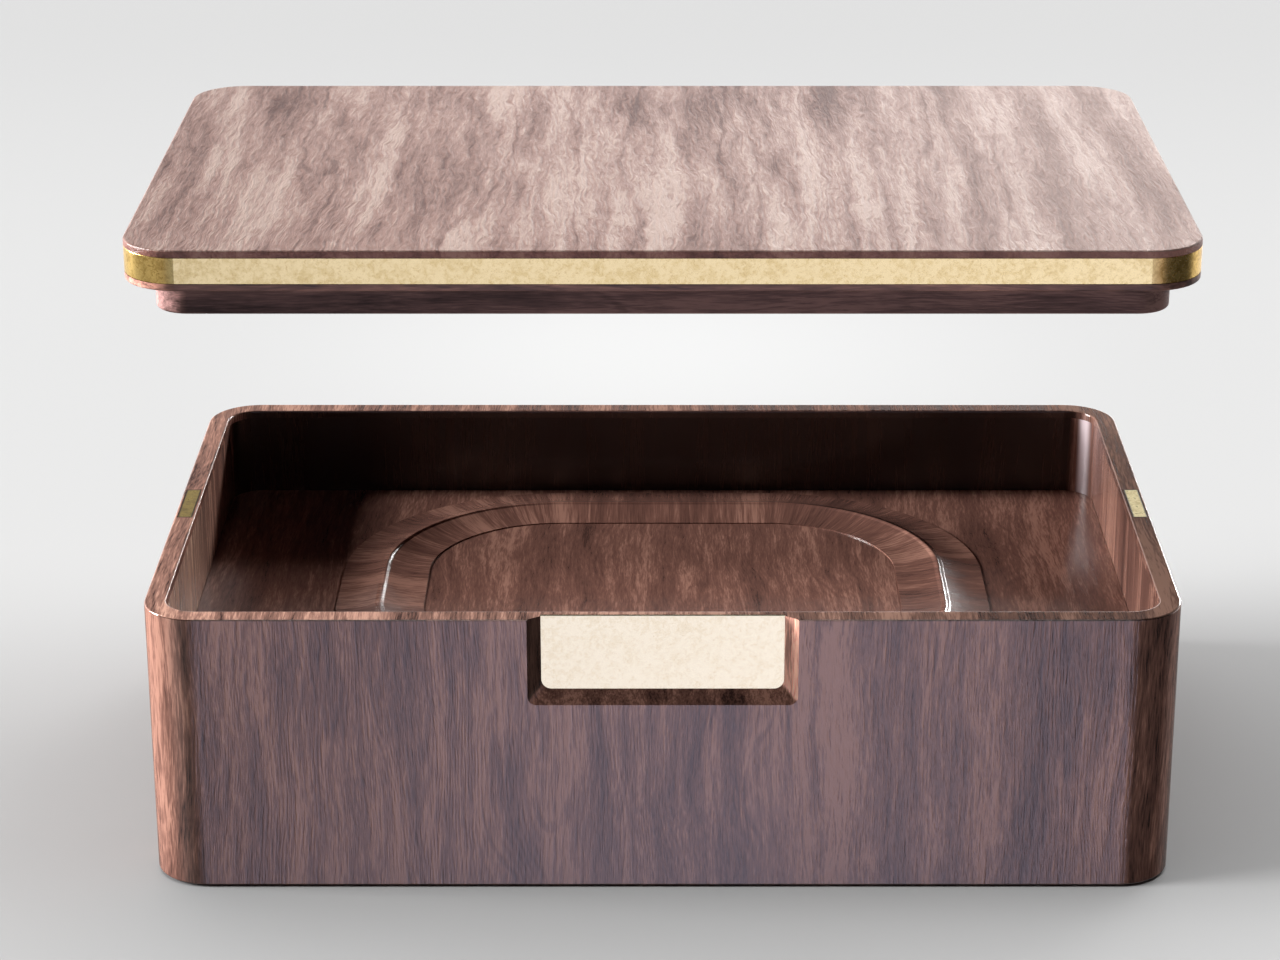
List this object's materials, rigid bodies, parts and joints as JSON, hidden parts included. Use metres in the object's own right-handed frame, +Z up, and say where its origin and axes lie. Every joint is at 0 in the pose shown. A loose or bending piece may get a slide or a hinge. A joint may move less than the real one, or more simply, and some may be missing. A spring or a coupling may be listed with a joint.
{
  "type": "signal-blocking storage box",
  "caption": "Low rectangular wooden box with a metal-lined wall, a front notch, a ringed floor and a lift-off lid with a metal edge band.",
  "frame": {"origin": "middle of the felt under the box, where it rests", "axes": "+X to the right along the long side, +Y to the back, +Z up; the notch is in the front, -Y, wall"},
  "size_m": [0.266, 0.1626, 0.1728],
  "materials": {
    "shell_wood": "satin oiled walnut, upright grain",
    "liner_wood": "satin oiled walnut, upright grain",
    "floor_wood": "semi-gloss walnut, grain front to back",
    "ring_wood": "semi-gloss walnut, grain across the ring",
    "base_wood": "plain plywood",
    "rail_wood": "plain sawn wood",
    "core_wood": "plain board",
    "lid_wood": "pale satin figured walnut",
    "lid_edge_wood": "satin oiled walnut",
    "spigot_wood": "satin dark walnut, level grain",
    "felt": "dark pressed felt",
    "screw_steel": "zinc plated",
    "tray_brass": "pale mottled brass",
    "contact_brass": "satin brass",
    "band_brass": "satin mottled brass"
  },
  "bodies": {
    "box": {"outer_shell": "shell_wood", "inner_liner": "liner_wood", "floor_panel": "floor_wood", "rest_ring": "ring_wood", "base_panel": "base_wood", "base_felt": "felt", "support_rail_front": "rail_wood", "support_rail_back": "rail_wood", "support_rail_left": "rail_wood", "support_rail_right": "rail_wood", "cross_rib_left": "rail_wood", "cross_rib_right": "rail_wood", "base_screws": "screw_steel", "floor_screws": "screw_steel", "shield_tray": "tray_brass", "rim_contact_left": "contact_brass", "rim_contact_right": "contact_brass"},
    "lid": {"lid_top_panel": "lid_wood", "lid_band": "band_brass", "lid_core": "core_wood", "lid_shield_plate": "tray_brass", "lid_lower_panel": "lid_edge_wood", "lid_spigot": "spigot_wood", "lid_contact_left": "contact_brass", "lid_contact_right": "contact_brass", "lid_dowels": "core_wood"}
  },
  "joints": [
    {"name": "lid_lift", "type": "slide", "parent": "box", "child": "lid", "axis": [0, 0, 1], "range_m": [-0.0866, 0]}
  ]
}
